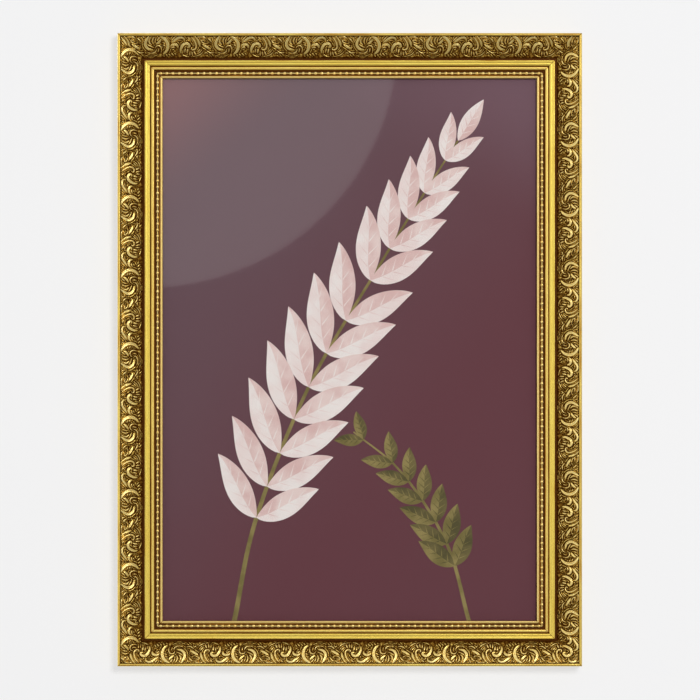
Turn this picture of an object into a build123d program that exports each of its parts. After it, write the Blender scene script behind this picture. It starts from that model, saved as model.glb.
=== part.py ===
from build123d import *
import os
from collections import namedtuple

# Ornate gilded picture frame for a 210 x 300 mm print, hung upright on a wall.
# X runs to the viewer's right, Z up and Y back to the wall, in millimetres.
# The origin is where a wall nail carries the frame: on the wall, under the middle notch of the top hanger.

# The print and what is stacked with it behind the sight edge
print_width = 210.0
print_height = 300.0
print_thickness = 0.3
glazing_thickness = 2.0
backing_thickness = 2.7
rebate_overlap = 5.0
pack_clearance = 1.0

# Members across the moulding's face, from the outer edge to the sight edge
crest_width = 1.9
ornament_width = 11.3
quirk_width = 1.1
ovolo_width = 3.2
astragal_width = 2.2
bead_channel_width = 2.9
lip_width = 1.4

# Members up the moulding's outer side, from the back to the crest
fillet_height = 3.8
torus_height = 1.2
cove_height = 4.2
band_height = 4.3
crest_height = 1.5

# How far the members of the outer side stand in from the edge of the back
torus_set_in = 0.35
torus_bulge = 0.3
cove_top_set_in = 0.8
cove_hollow = 1.0
band_set_in = 0.15
band_bulge = 0.15
crest_set_in = 0.55
crest_quirk = 0.25
crest_shoulder = 0.5

# Heights of the face above the back of the moulding
ornament_outer_height = 13.6
ornament_inner_height = 7.6
quirk_height = 6.6
ovolo_height = 8.6
ovolo_inner_height = 7.5
astragal_height = 8.1
bead_channel_height = 6.7
lip_height = 7.4
lip_edge_height = 6.8

# Small steps of the face
ovolo_fillet_width = 0.7
ovolo_fillet_drop = 0.25
ovolo_bulge = 0.4
crest_inner_drop = 0.5

# Pressed ornament: a running scroll, two volutes in each repeat
ornament_thickness = 1.2
ornament_clearance = 0.05
scroll_repeat = 37.1
scrolls_per_repeat = 2
scroll_radius = 3.8
scroll_line = 1.6
scroll_sweep = 250.0
scroll_start = 35.0
scroll_eye_radius = 1.4
scroll_relief = 0.7

# Bead string
bead_pitch = 3.3
bead_radius = 0.85
bead_neck_radius = 0.35

# Corner wedges driven across each mitre
wedge_leg = 5.0
wedge_sheet = 0.5
wedge_depth = 5.0
wedge_clearance = 0.05
wedge_places = (5.5, 11.0)

# Turn buttons and their screws
button_thickness = 1.0
button_pivot_radius = 5.0
button_tip_radius = 3.2
button_reach = 9.0
button_edge = 5.5
button_rounding = 0.25
button_clearance = 0.1
button_spread_short = 120.0
button_spread_long = 170.0
screw_radius = 1.5
screw_clearance = 0.1
screw_bite = 5.0
screw_head_radius = 3.0
screw_head_height = 1.6
screw_head_rounding = 0.8
screw_cross_width = 0.8
screw_cross_length = 3.4
screw_cross_depth = 0.9
pilot_clearance = 0.05

# Toothed hangers and their nails
hanger_length = 44.0
hanger_height = 10.0
hanger_sheet = 0.8
hanger_corner = 2.0
hanger_inset = 4.0
hanger_rise = 1.5
hanger_bridge = 24.0
hanger_ramp = 3.0
tooth_pitch = 3.0
tooth_depth = 1.6
nail_spread = 37.0
nail_radius = 0.9
nail_bite = 6.0
nail_head_radius = 2.0
nail_head_height = 0.7
nail_head_rounding = 0.4

# Wall bumpers
bumper_radius = 5.0
bumper_thickness = 3.0
bumper_rounding = 0.6
bumper_corner_distance = 24.0
bumper_edge_distance = 9.0

# Sizes that follow
sight_width = print_width - 2 * rebate_overlap
sight_height = print_height - 2 * rebate_overlap
rebate_width = rebate_overlap + pack_clearance
rebate_depth = glazing_thickness + print_thickness + backing_thickness

ornament_start = crest_width
ornament_end = ornament_start + ornament_width
ovolo_start = ornament_end + quirk_width
ovolo_end = ovolo_start + ovolo_width
astragal_end = ovolo_end + astragal_width
bead_channel_end = astragal_end + bead_channel_width
bead_line = astragal_end + bead_channel_width / 2
moulding_width = bead_channel_end + lip_width

torus_top = fillet_height + torus_height
cove_top = torus_top + cove_height
band_top = cove_top + band_height
moulding_height = band_top + crest_height

frame_width = sight_width + 2 * moulding_width
frame_height = sight_height + 2 * moulding_width
back_y = -bumper_thickness
notch_depth = hanger_inset + hanger_height - tooth_depth
frame_top = notch_depth
frame_middle = frame_top - frame_height / 2

# The four sides of the frame: which way is inwards, and how long the outer edge is
Side = namedtuple("Side", "name inward length across")
sides = [
    Side("top", Vector(0, 0, -1), frame_width, frame_height),
    Side("bottom", Vector(0, 0, 1), frame_width, frame_height),
    Side("left", Vector(1, 0, 0), frame_height, frame_width),
    Side("right", Vector(-1, 0, 0), frame_height, frame_width),
]
out_of_back = Vector(0, 1, 0)


def outer_edge(side):
    """Middle of a rail's outer edge, on the back of the moulding."""
    return Vector(0, back_y, frame_middle) - side.inward * (side.across / 2)


def section_plane(side):
    """Plane of a rail's section: x runs inwards from the outer edge, y from the back to the face."""
    return Plane(outer_edge(side), x_dir=side.inward, z_dir=out_of_back.cross(side.inward))


def back_place(side, along, inwards, lift=0.0):
    """Plane on the back of a rail: x runs inwards, z out of the back."""
    rail_way = section_plane(side).z_dir
    place = outer_edge(side) + rail_way * along + side.inward * inwards + out_of_back * lift
    return Plane(place, x_dir=side.inward, z_dir=out_of_back)


def mitre_planes(side):
    """The two 45 degree planes that end a rail, with their normals pointing out of it."""
    rail_way = section_plane(side).z_dir
    ends = []
    for way in (rail_way, rail_way * -1):
        ends.append(Plane(outer_edge(side) + way * (side.length / 2), z_dir=way + side.inward))
    return ends


def button_places(side):
    """Where the turn buttons of a rail pivot, as distances along the rail and in from its outer edge."""
    spread = button_spread_short if side.across > side.length else button_spread_long
    inwards = moulding_width - rebate_width - button_edge
    return [(-spread / 2, inwards), (spread / 2, inwards)]


def hanger_nail_places():
    """Where the nails of a hanger go, as distances along the rail and in from its outer edge."""
    inwards = hanger_inset + hanger_height / 2
    return [(-nail_spread / 2, inwards), (nail_spread / 2, inwards)]


def wedge_outlines(extra=0.0):
    """Two wedges at each corner, each a right-angled sheet with one leg in either rail."""
    for way_x in (-1, 1):
        for way_z in (-1, 1):
            for place in wedge_places:
                x = way_x * (frame_width / 2 - place)
                z = way_z * (frame_height / 2 - place)
                leg = wedge_leg + 2 * extra
                sheet = wedge_sheet + 2 * extra
                shift = (wedge_leg - wedge_sheet) / 2
                with Locations((-x + way_x * shift, z)):
                    Rectangle(leg, sheet)
                with Locations((-x, z - way_z * shift)):
                    Rectangle(sheet, leg)


def save(piece, name):
    """Label a finished piece and write it to its file."""
    piece.part.label = name
    export_step(piece.part, f"parts/{name}.step")


os.makedirs("parts", exist_ok=True)
hanger_sides = [sides[0], sides[3]]
wedge_plane = Plane((0, back_y, frame_middle), x_dir=(-1, 0, 0), z_dir=out_of_back)

# Moulding rails: one wooden section, mitred at both ends, with a rebate behind the sight edge
for side in sides:
    with BuildPart() as rail:
        with BuildSketch(section_plane(side)):
            with BuildLine():
                Polyline((0, 0), (0, fillet_height), (torus_set_in, fillet_height))
                ThreePointArc(
                    (torus_set_in, fillet_height),
                    (torus_set_in - torus_bulge, fillet_height + torus_height / 2),
                    (torus_set_in, torus_top),
                )
                ThreePointArc(
                    (torus_set_in, torus_top),
                    ((torus_set_in + cove_top_set_in) / 2 + cove_hollow, torus_top + cove_height / 2),
                    (cove_top_set_in, cove_top),
                )
                Line((cove_top_set_in, cove_top), (band_set_in, cove_top))
                ThreePointArc(
                    (band_set_in, cove_top),
                    ((band_set_in + crest_set_in) / 2 - band_bulge, cove_top + band_height / 2),
                    (crest_set_in, band_top),
                )
                crest_foot = crest_set_in + crest_quirk
                Line((crest_set_in, band_top), (crest_foot, band_top))
                ThreePointArc(
                    (crest_foot, band_top),
                    (crest_foot + crest_shoulder, moulding_height),
                    (crest_width, moulding_height - crest_inner_drop),
                )
                Polyline(
                    (crest_width, moulding_height - crest_inner_drop),
                    (ornament_start, ornament_outer_height - ornament_thickness),
                    (ornament_end, ornament_inner_height - ornament_thickness),
                    (ornament_end, quirk_height),
                    (ovolo_start, quirk_height),
                    (ovolo_start, ovolo_height),
                    (ovolo_start + ovolo_fillet_width, ovolo_height),
                    (ovolo_start + ovolo_fillet_width, ovolo_height - ovolo_fillet_drop),
                )
                ovolo_foot = ovolo_height - ovolo_fillet_drop
                ThreePointArc(
                    (ovolo_start + ovolo_fillet_width, ovolo_foot),
                    (
                        (ovolo_start + ovolo_fillet_width + ovolo_end) / 2,
                        (ovolo_foot + ovolo_inner_height) / 2 + ovolo_bulge,
                    ),
                    (ovolo_end, ovolo_inner_height),
                )
                ThreePointArc(
                    (ovolo_end, ovolo_inner_height),
                    (ovolo_end + astragal_width / 2, astragal_height),
                    (astragal_end, ovolo_inner_height),
                )
                Polyline(
                    (astragal_end, ovolo_inner_height),
                    (astragal_end, bead_channel_height),
                    (bead_channel_end, bead_channel_height),
                    (bead_channel_end, lip_edge_height),
                )
                ThreePointArc(
                    (bead_channel_end, lip_edge_height),
                    (bead_channel_end + lip_width / 2, lip_height),
                    (moulding_width, lip_edge_height),
                )
                Polyline(
                    (moulding_width, lip_edge_height),
                    (moulding_width, rebate_depth),
                    (moulding_width - rebate_width, rebate_depth),
                    (moulding_width - rebate_width, 0),
                    (0, 0),
                )
            make_face()
        extrude(amount=side.length / 2, both=True)
        for end in mitre_planes(side):
            split(bisect_by=end, keep=Keep.BOTTOM)
        with Locations(*[back_place(side, *place) for place in button_places(side)]):
            Hole(screw_radius + pilot_clearance, screw_bite + pilot_clearance)
        if side in hanger_sides:
            with Locations(*[back_place(side, *place) for place in hanger_nail_places()]):
                Hole(nail_radius + pilot_clearance, nail_bite + pilot_clearance)
        with BuildSketch(wedge_plane):
            wedge_outlines(wedge_clearance)
        extrude(amount=-(wedge_depth + wedge_clearance), mode=Mode.SUBTRACT)
    save(rail, f"{side.name}_rail")

# Ornament strips: pressed composition, laid in the sloping recess of each rail
volutes = []
for turn in range(scrolls_per_repeat):
    start = scroll_start + turn * 360 / scrolls_per_repeat
    volutes.append(CenterArc((0, 0), scroll_radius, start, scroll_sweep))
slope_run = ornament_width
slope_drop = ornament_outer_height - ornament_inner_height
for side in sides:
    section = section_plane(side)
    strip_start = ornament_start + ornament_clearance
    strip_end = ornament_end - ornament_clearance
    edge_drop = slope_drop * ornament_clearance / slope_run
    top_outer = ornament_outer_height - edge_drop
    top_inner = ornament_inner_height + edge_drop
    slope_way = section.from_local_coords((slope_run, -slope_drop, 0)) - section.origin
    slope_middle = section.from_local_coords(
        ((ornament_start + ornament_end) / 2, (ornament_outer_height + ornament_inner_height) / 2, 0)
    )
    face_plane = Plane(slope_middle, x_dir=slope_way, z_dir=slope_way.cross(section.z_dir) * -1)
    scroll_step = scroll_repeat / scrolls_per_repeat
    scroll_room = scroll_radius + scroll_line
    scroll_reach = side.length / 2 - (ornament_start + ornament_end) / 2 - scroll_room * 2**0.5
    scroll_count = 2 * int(scroll_reach / scroll_step) + 1
    with BuildPart() as strip:
        with BuildSketch(section):
            with BuildLine():
                Polyline(
                    (strip_start, top_outer - ornament_thickness),
                    (strip_start, top_outer),
                    (strip_end, top_inner),
                    (strip_end, top_inner - ornament_thickness),
                    close=True,
                )
            make_face()
        extrude(amount=side.length / 2, both=True)
        with BuildSketch(face_plane):
            for index in range(scroll_count):
                along = (index - (scroll_count - 1) / 2) * scroll_step
                with Locations((0, along)):
                    SlotArc(volutes[index % scrolls_per_repeat], scroll_line)
                    Circle(scroll_eye_radius)
        extrude(amount=scroll_relief)
        for end in mitre_planes(side):
            split(bisect_by=end, keep=Keep.BOTTOM)
    save(strip, f"{side.name}_ornament")

# Bead strings: half-round beads on a thin neck, glued to the floor of the bead channel
for side in sides:
    section = section_plane(side)
    string_length = side.length - 2 * bead_line
    bead_count = round(string_length / bead_pitch)
    pitch = string_length / bead_count
    half_bead = (bead_radius**2 - bead_neck_radius**2) ** 0.5
    string_middle = section.from_local_coords((bead_line, bead_channel_height, 0))
    string_plane = Plane(string_middle, x_dir=section.z_dir, z_dir=section.y_dir)
    reach = string_length / 2 + bead_neck_radius
    with BuildPart() as beads:
        with BuildSketch(string_plane):
            with BuildLine():
                corner = (-reach, bead_neck_radius)
                Line((-reach, 0), corner)
                for index in range(bead_count):
                    middle = (index + 0.5) * pitch - string_length / 2
                    Line(corner, (middle - half_bead, bead_neck_radius))
                    corner = (middle + half_bead, bead_neck_radius)
                    ThreePointArc((middle - half_bead, bead_neck_radius), (middle, bead_radius), corner)
                Polyline(corner, (reach, bead_neck_radius), (reach, 0), (-reach, 0))
            make_face()
        revolve(axis=Axis(string_middle, section.z_dir), revolution_arc=180)
        for end in mitre_planes(side):
            split(bisect_by=end, keep=Keep.BOTTOM)
    save(beads, f"{side.name}_beads")

# Glazing, print and backing board, stacked in the rebate
sheets = [
    ("glazing", glazing_thickness, print_thickness + backing_thickness),
    ("picture_print", print_thickness, backing_thickness),
    ("backing_board", backing_thickness, 0.0),
]
for name, thickness, behind in sheets:
    with BuildPart() as sheet:
        with BuildSketch(Plane((0, back_y - behind, frame_middle), x_dir=(-1, 0, 0), z_dir=out_of_back)):
            Rectangle(print_width, print_height)
        extrude(amount=-thickness)
    save(sheet, name)

# Corner wedges: bent steel sheet, driven flush into the back across each mitre
with BuildPart() as corner_wedges:
    with BuildSketch(wedge_plane):
        wedge_outlines()
    extrude(amount=-wedge_depth)
save(corner_wedges, "corner_wedges")

# Turn buttons: flat steel tongues that swing over the backing board, each round its own screw
for side in sides:
    for place in button_places(side):
        pivot = back_place(side, *place, lift=button_clearance)
        if side.length < side.across:
            end = "left" if pivot.origin.X < 0 else "right"
        else:
            end = "lower" if pivot.origin.Z < frame_middle else "upper"
        name = f"{side.name}_{end}_button"
        with BuildPart() as button:
            with BuildSketch(pivot):
                with BuildLine():
                    CenterArc((0, 0), button_pivot_radius, 0, 360)
                    CenterArc((button_reach, 0), button_tip_radius, 0, 360)
                make_hull()
                Circle(screw_radius + screw_clearance, mode=Mode.SUBTRACT)
            extrude(amount=button_thickness)
            chamfer(button.faces().sort_by(Axis.Y)[-1].outer_wire().edges(), button_rounding)
        save(button, name)

# Screws of the turn buttons: round heads with a cross recess
button_pivots = [back_place(side, *place) for side in sides for place in button_places(side)]
head_seat = 2 * button_clearance + button_thickness
with BuildPart() as button_screws:
    for pivot in button_pivots:
        with BuildSketch(pivot):
            Circle(screw_radius)
        extrude(amount=-screw_bite)
        with BuildSketch(pivot):
            Circle(screw_radius)
        extrude(amount=head_seat)
        with BuildSketch(pivot.offset(head_seat)):
            Circle(screw_head_radius)
        extrude(amount=screw_head_height)
    head_tops = button_screws.faces().filter_by(Axis.Y).group_by(Axis.Y)[-1]
    fillet(head_tops.edges(), screw_head_rounding)
    for pivot in button_pivots:
        with BuildSketch(pivot.offset(head_seat + screw_head_height)):
            Rectangle(screw_cross_length, screw_cross_width)
            Rectangle(screw_cross_width, screw_cross_length)
        extrude(amount=-screw_cross_depth, mode=Mode.SUBTRACT)
save(button_screws, "button_screws")

# Toothed hangers: steel strips nailed at both ends, bridged in the middle to let a nail head in
tooth_count = 2 * int((hanger_bridge / 2 - tooth_pitch) / tooth_pitch) + 1
for side in hanger_sides:
    middle = back_place(side, 0, hanger_inset + hanger_height / 2)
    half = hanger_length / 2
    flat = hanger_bridge / 2
    foot = flat + hanger_ramp
    with BuildPart() as hanger:
        with BuildSketch(Plane(middle.origin, x_dir=middle.y_dir, z_dir=middle.x_dir)):
            with BuildLine():
                Polyline(
                    (-half, 0),
                    (-foot, 0),
                    (-flat, hanger_rise),
                    (flat, hanger_rise),
                    (foot, 0),
                    (half, 0),
                    (half, hanger_sheet),
                    (foot, hanger_sheet),
                    (flat, hanger_rise + hanger_sheet),
                    (-flat, hanger_rise + hanger_sheet),
                    (-foot, hanger_sheet),
                    (-half, hanger_sheet),
                    close=True,
                )
            make_face()
        extrude(amount=hanger_height / 2, both=True)
        with BuildSketch(middle):
            RectangleRounded(hanger_height, hanger_length, hanger_corner)
            for index in range(tooth_count):
                along = (index - (tooth_count - 1) / 2) * tooth_pitch
                with BuildLine():
                    Polyline(
                        (hanger_height / 2, along - tooth_pitch / 2),
                        (hanger_height / 2 - tooth_depth, along),
                        (hanger_height / 2, along + tooth_pitch / 2),
                        close=True,
                    )
                make_face(mode=Mode.SUBTRACT)
            with Locations((0, -nail_spread / 2), (0, nail_spread / 2)):
                Circle(nail_radius + pilot_clearance, mode=Mode.SUBTRACT)
        extrude(amount=hanger_rise + hanger_sheet, mode=Mode.INTERSECT)
    save(hanger, f"{side.name}_hanger")

# Nails of the hangers
nail_points = [back_place(side, *place) for side in hanger_sides for place in hanger_nail_places()]
with BuildPart() as hanger_nails:
    for point in nail_points:
        with BuildSketch(point):
            Circle(nail_radius)
        extrude(amount=-nail_bite)
        with BuildSketch(point):
            Circle(nail_radius)
        extrude(amount=hanger_sheet)
        with BuildSketch(point.offset(hanger_sheet)):
            Circle(nail_head_radius)
        extrude(amount=nail_head_height)
    nail_tops = hanger_nails.faces().filter_by(Axis.Y).group_by(Axis.Y)[-1]
    fillet(nail_tops.edges(), nail_head_rounding)
save(hanger_nails, "hanger_nails")

# Wall bumpers: soft discs stuck to the back of the bottom rail near its corners
bottom = sides[1]
bumper_spread = frame_width / 2 - bumper_corner_distance
for name, along in (("left_bumper", -bumper_spread), ("right_bumper", bumper_spread)):
    with BuildPart() as bumper:
        with BuildSketch(back_place(bottom, along, bumper_edge_distance)):
            Circle(bumper_radius)
        extrude(amount=bumper_thickness)
        fillet(bumper.faces().sort_by(Axis.Y)[-1].edges(), bumper_rounding)
    save(bumper, name)
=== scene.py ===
import math

import bpy
import numpy as np
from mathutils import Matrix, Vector, geometry


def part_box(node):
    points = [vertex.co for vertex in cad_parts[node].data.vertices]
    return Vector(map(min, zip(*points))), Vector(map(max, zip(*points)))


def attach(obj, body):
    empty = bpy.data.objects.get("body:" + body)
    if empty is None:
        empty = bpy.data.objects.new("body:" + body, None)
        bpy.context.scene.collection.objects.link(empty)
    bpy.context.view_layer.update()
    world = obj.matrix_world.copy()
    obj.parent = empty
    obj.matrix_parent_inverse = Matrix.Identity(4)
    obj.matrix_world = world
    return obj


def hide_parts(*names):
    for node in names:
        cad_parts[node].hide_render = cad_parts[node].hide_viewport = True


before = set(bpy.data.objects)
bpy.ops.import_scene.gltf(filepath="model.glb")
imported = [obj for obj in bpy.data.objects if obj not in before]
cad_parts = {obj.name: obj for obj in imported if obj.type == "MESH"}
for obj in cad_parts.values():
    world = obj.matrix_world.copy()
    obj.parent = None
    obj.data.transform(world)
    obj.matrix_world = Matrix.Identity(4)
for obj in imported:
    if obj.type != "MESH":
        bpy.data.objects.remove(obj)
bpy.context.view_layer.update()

# Moulding rails. Four lengths of one machined wooden moulding, mitred and joined at the corners.
# The face and the outer side are gilded over a dark stain, which is left standing in the hollows.
# The rebate and the back are bare wood.
mm = 0.001
outer_low = Vector((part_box("left_rail")[0].x, 0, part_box("bottom_rail")[0].z))
outer_high = Vector((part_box("right_rail")[1].x, 0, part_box("top_rail")[1].z))
rail_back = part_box("left_rail")[1].y
middle = (outer_low + outer_high) / 2
half_width = (outer_high.x - outer_low.x) / 2
half_height = (outer_high.z - outer_low.z) / 2
inward_ways = {"top": (0, -1), "bottom": (0, 1), "left": (1, 0), "right": (-1, 0)}


def half_run(side):
    """Half the length of a rail's outer edge."""
    return half_width if inward_ways[side][0] == 0 else half_height


def on_rail(side, along, inwards, height):
    """Points given along a rail, inwards from its outer edge and up from its back."""
    in_x, in_z = inward_ways[side]
    reach = half_width if in_x else half_height
    along, inwards, height = np.broadcast_arrays(along, inwards, height)
    x = middle.x + in_x * (inwards - reach) + in_z * along
    z = middle.z + in_z * (inwards - reach) - in_x * along
    return np.stack([x, rail_back - height, z], axis=-1)


class Signal:
    """A value in a material's nodes, so that sums on it are written as plain expressions."""

    def __init__(self, tree, socket=None):
        self.tree = tree
        self.socket = socket

    def put(self, value, socket):
        if isinstance(value, Signal):
            self.tree.links.new(value.socket, socket)
        else:
            socket.default_value = value

    def node(self, kind, settings, sockets, output=None):
        """Any node: its settings are set first, then the values or links of its sockets."""
        made = self.tree.nodes.new(kind)
        for name, value in settings.items():
            setattr(made, name, value)
        for name, value in sockets.items():
            self.put(value, next(s for s in made.inputs if s.enabled and s.name == name))
        return Signal(self.tree, next(s for s in made.outputs if s.enabled and output in (None, s.name)))

    def sum(self, operation, first, second):
        made = self.tree.nodes.new("ShaderNodeMath")
        made.operation = operation
        self.put(first, made.inputs[0])
        self.put(second, made.inputs[1])
        return Signal(self.tree, made.outputs[0])

    def __add__(self, other):
        return self.sum("ADD", self, other)

    __radd__ = __add__

    def __sub__(self, other):
        return self.sum("SUBTRACT", self, other)

    def __rsub__(self, other):
        return self.sum("SUBTRACT", other, self)

    def __mul__(self, other):
        return self.sum("MULTIPLY", self, other)

    __rmul__ = __mul__


def new_finish(name, **constants):
    """A new material, its shader, and a bare signal to make its nodes from."""
    made = bpy.data.materials.new(name)
    made.use_nodes = True
    shader = made.node_tree.nodes["Principled BSDF"]
    for socket, value in constants.items():
        shader.inputs[socket.replace("_", " ").title().replace("Ior", "IOR")].default_value = value
    return made, shader, Signal(made.node_tree)


def feed(shader, **signals):
    for socket, signal in signals.items():
        signal.put(signal, shader.inputs[socket.replace("_", " ").title()])


def noise(place, scale, detail=2.0, soften=0.5):
    """Even noise on a place, with its own scale in each direction, from 0 to 1."""
    stretched = place.node("ShaderNodeMapping", {}, {"Vector": place, "Scale": scale})
    sockets = {"Vector": stretched, "Scale": 1.0, "Detail": detail, "Roughness": soften}
    return stretched.node("ShaderNodeTexNoise", {}, sockets, "Fac")


def between(signal, low, high):
    """0 below low, 1 above high, and a smooth step between them."""
    sockets = {"Value": signal, "From Min": low, "From Max": high}
    return signal.node("ShaderNodeMapRange", {"interpolation_type": "SMOOTHSTEP"}, sockets)


def tint(amount, first, second):
    return amount.node("ShaderNodeMix", {"data_type": "RGBA"}, {"Factor": amount, "A": first, "B": second})


def bump(height, strength, distance):
    return height.node("ShaderNodeBump", {}, {"Height": height, "Strength": strength, "Distance": distance})


def uv_place(base, name):
    return base.node("ShaderNodeUVMap", {"uv_map": name}, {})


def object_place(base):
    return base.node("ShaderNodeTexCoord", {}, {}, "Object")


def own_value(base, name):
    return base.node("ShaderNodeAttribute", {"attribute_name": name}, {}, "Fac")


yellow_gold, warm_gold, streak_gold = (0.84, 0.64, 0.125, 1), (0.76, 0.54, 0.090, 1), (0.64, 0.39, 0.050, 1)
pale_gold, thin_stain, full_stain = (0.82, 0.60, 0.235, 1), (0.40, 0.150, 0.007, 1), (0.085, 0.024, 0.0008, 1)
pore_brown = (0.16, 0.060, 0.006, 1)
gilt, gilt_shader, base = new_finish("gilded_rail_finish", specular_ior_level=0.12)
run = uv_place(base, "run")
stain = own_value(base, "stain")
open_grain = own_value(base, "grain")
paler = own_value(base, "pale")
tone = noise(run, (45, 900, 1), 3)
streaks = noise(run, (70, 3200, 1), 2)
flecks = between(noise(run, (520, 5200, 1), 1), 0.63, 0.72)
pores = flecks * between(noise(run, (60, 260, 1), 1), 0.36, 0.56) * open_grain
left_dark = between(stain + (tone - 0.5) * 0.5 + (streaks - 0.5) * 0.3, 0.18, 0.86)
gold = tint(between(tone, 0.3, 0.7), yellow_gold, warm_gold)
gold = tint(between(streaks, 0.55, 0.8) * 0.35, gold, streak_gold)
gold = tint(paler * 0.75, gold, pale_gold)
gold = tint(between(left_dark, 0.0, 0.5), gold, thin_stain)
gold = tint(between(left_dark, 0.5, 1.0), gold, full_stain)
gold = tint(pores * 0.8, gold, pore_brown)
feed(
    gilt_shader,
    base_color=gold,
    metallic=0.86 - left_dark * 0.5 - pores * 0.4,
    roughness=0.34 + (tone - 0.5) * 0.16 + left_dark * 0.16 + pores * 0.25,
    normal=bump(streaks * 0.3 - pores, 0.35, 0.00006),
)

light_wood, brown_wood, fibre_brown = (0.66, 0.50, 0.32, 1), (0.53, 0.37, 0.21, 1), (0.36, 0.23, 0.12, 1)
bare_wood, wood_shader, base = new_finish("bare_moulding_wood", specular_ior_level=0.35)
run = uv_place(base, "run")
fibres = noise(run, (30, 2400, 1), 3)
figure = noise(run, (9, 240, 1), 2)
wood = tint(between(figure, 0.3, 0.75), light_wood, brown_wood)
wood = tint(between(fibres, 0.52, 0.8) * 0.5, wood, fibre_brown)
feed(wood_shader, base_color=wood, roughness=0.62 + fibres * 0.25, normal=bump(fibres, 0.3, 0.0001))

outline = []


def to(inwards, height, dark, pale=0.0):
    """The next point of the section, in millimetres, with the stain left there and how pale its gold is."""
    outline.append((inwards, height, dark, pale))


def bow(through, end, dark, hollow=0.0, steps=9, fade=0.3, pale=0.0):
    """A round run from the last point; the stain fades from its ends to what its hollow holds."""
    start_dark = outline[-1][2]
    a, b, c = complex(*outline[-1][:2]), complex(*through), complex(*end)
    w = (c - a) / (b - a)
    centre = (b - a) * (w - abs(w) ** 2) / (2j * w.imag) + a
    turn = np.angle((b - centre) / (a - centre)) + np.angle((c - centre) / (b - centre))
    for step in range(1, steps + 1):
        t = step / steps
        point = centre + (a - centre) * np.exp(1j * turn * t)
        left = max(start_dark * (1 - t / fade), dark * (1 - (1 - t) / fade), hollow * math.sin(math.pi * t))
        outline.append((point.real, point.imag, left, pale))


fillet_top, torus_top, cove_top, band_top, crest_top = 3.8, 5.0, 9.2, 13.5, 15.0
ornament_start, ornament_end, ornament_high, ornament_low = 1.75, 13.2, 13.8, 7.6
ovolo_start, ovolo_end, astragal_end, channel_end, face_width = 14.46, 17.5, 19.7, 22.6, 24.0
recess_depth, groove_floor, ovolo_top, ovolo_flat, ovolo_shoulder = 1.2, 6.6, 8.6, 0.75, 1.35
quirk_level, astragal_top, lip_side, lip_top = 7.5, 8.1, 6.8, 7.4
channel_floor, rebate_width, rebate_depth, back_set_in = 6.7, 6.0, 5.0, 0.04
to(0, back_set_in, 0.2)
to(0, fillet_top, 0.25)
to(0.35, fillet_top, 0.9)
bow((0.05, (fillet_top + torus_top) / 2), (0.35, torus_top), 0.9)
bow((1.575, (torus_top + cove_top) / 2), (0.8, cove_top), 0.95, hollow=0.35, steps=14)
to(0.15, cove_top, 0.3)
bow((0.08, (cove_top + band_top) / 2), (0.22, band_top), 0.35)
to(0.4, band_top, 0.5)
to(0.3, crest_top - 0.45, 0.2)
bow((0.9, crest_top), (ornament_start, crest_top - 0.35), 0.7, hollow=0.38, fade=0.25, pale=0.3)
to(ornament_start, ornament_high - recess_depth, 1)
to(ornament_end, ornament_low - recess_depth, 1)
to(ornament_end, groove_floor, 1)
to(ovolo_start, groove_floor, 1)
to(ovolo_start, ovolo_top, 0.35)
to(ovolo_start + ovolo_flat, ovolo_top, 0.1)
to(ovolo_start + ovolo_shoulder, 8.34, 0.0)
bow(((ovolo_start + ovolo_shoulder + ovolo_end) / 2, 8.46), (ovolo_end, quirk_level), 1.0, fade=0.42)
bow(((ovolo_end + astragal_end) / 2, astragal_top), (astragal_end, quirk_level), 0.8, fade=0.46, pale=0.45)
to(astragal_end, channel_floor, 1)
to(channel_end, channel_floor, 0.66)
to(channel_end, lip_side, 0.7)
bow(((channel_end + face_width) / 2, lip_top), (face_width, lip_side), 0.8, fade=0.34, pale=1.0)
to(face_width, rebate_depth, 0.4)
gilded_points = len(outline)
to(face_width - rebate_width, rebate_depth, 0)
to(face_width - rebate_width, back_set_in, 0)

corner_ease, ease_at_most, ease_middle, nearly_straight = 0.14, 0.35, 0.35, -0.9
eased = []
bare_from = 0
for index, corner in enumerate(outline):
    here = np.array(corner[:2])
    before = np.array(outline[index - 1][:2]) - here
    after = np.array(outline[(index + 1) % len(outline)][:2]) - here
    if index == gilded_points:
        bare_from = len(eased)
    way = np.dot(before, after) / np.linalg.norm(before) / np.linalg.norm(after)
    if way < nearly_straight:
        eased.append(corner)
        continue
    cut = min(corner_ease, ease_at_most * min(np.linalg.norm(before), np.linalg.norm(after)))
    for pull, share in ((before, 1.0), (before * 0.5 + after * 0.5, ease_middle), (after, 1.0)):
        length = max(np.linalg.norm(pull), 1e-6)
        eased.append((*(here + pull / length * cut * share), *corner[2:]))
inwards, height, dark, pale = np.array(eased).T
inwards, height = inwards * mm, height * mm
steps = np.hypot(np.diff(inwards, append=inwards[0]), np.diff(height, append=height[0]))
path = np.concatenate([[0], np.cumsum(steps)])
rail_points = len(eased)
mitre_gap, mitre_ease, mitre_dark = 0.05 * mm, 0.22 * mm, 0.8
grain_reach, side_grain, edge_grain, face_grain = 1.4 * mm, 1.0, 0.3, 0.6
crisp_rail = math.radians(50)
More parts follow.
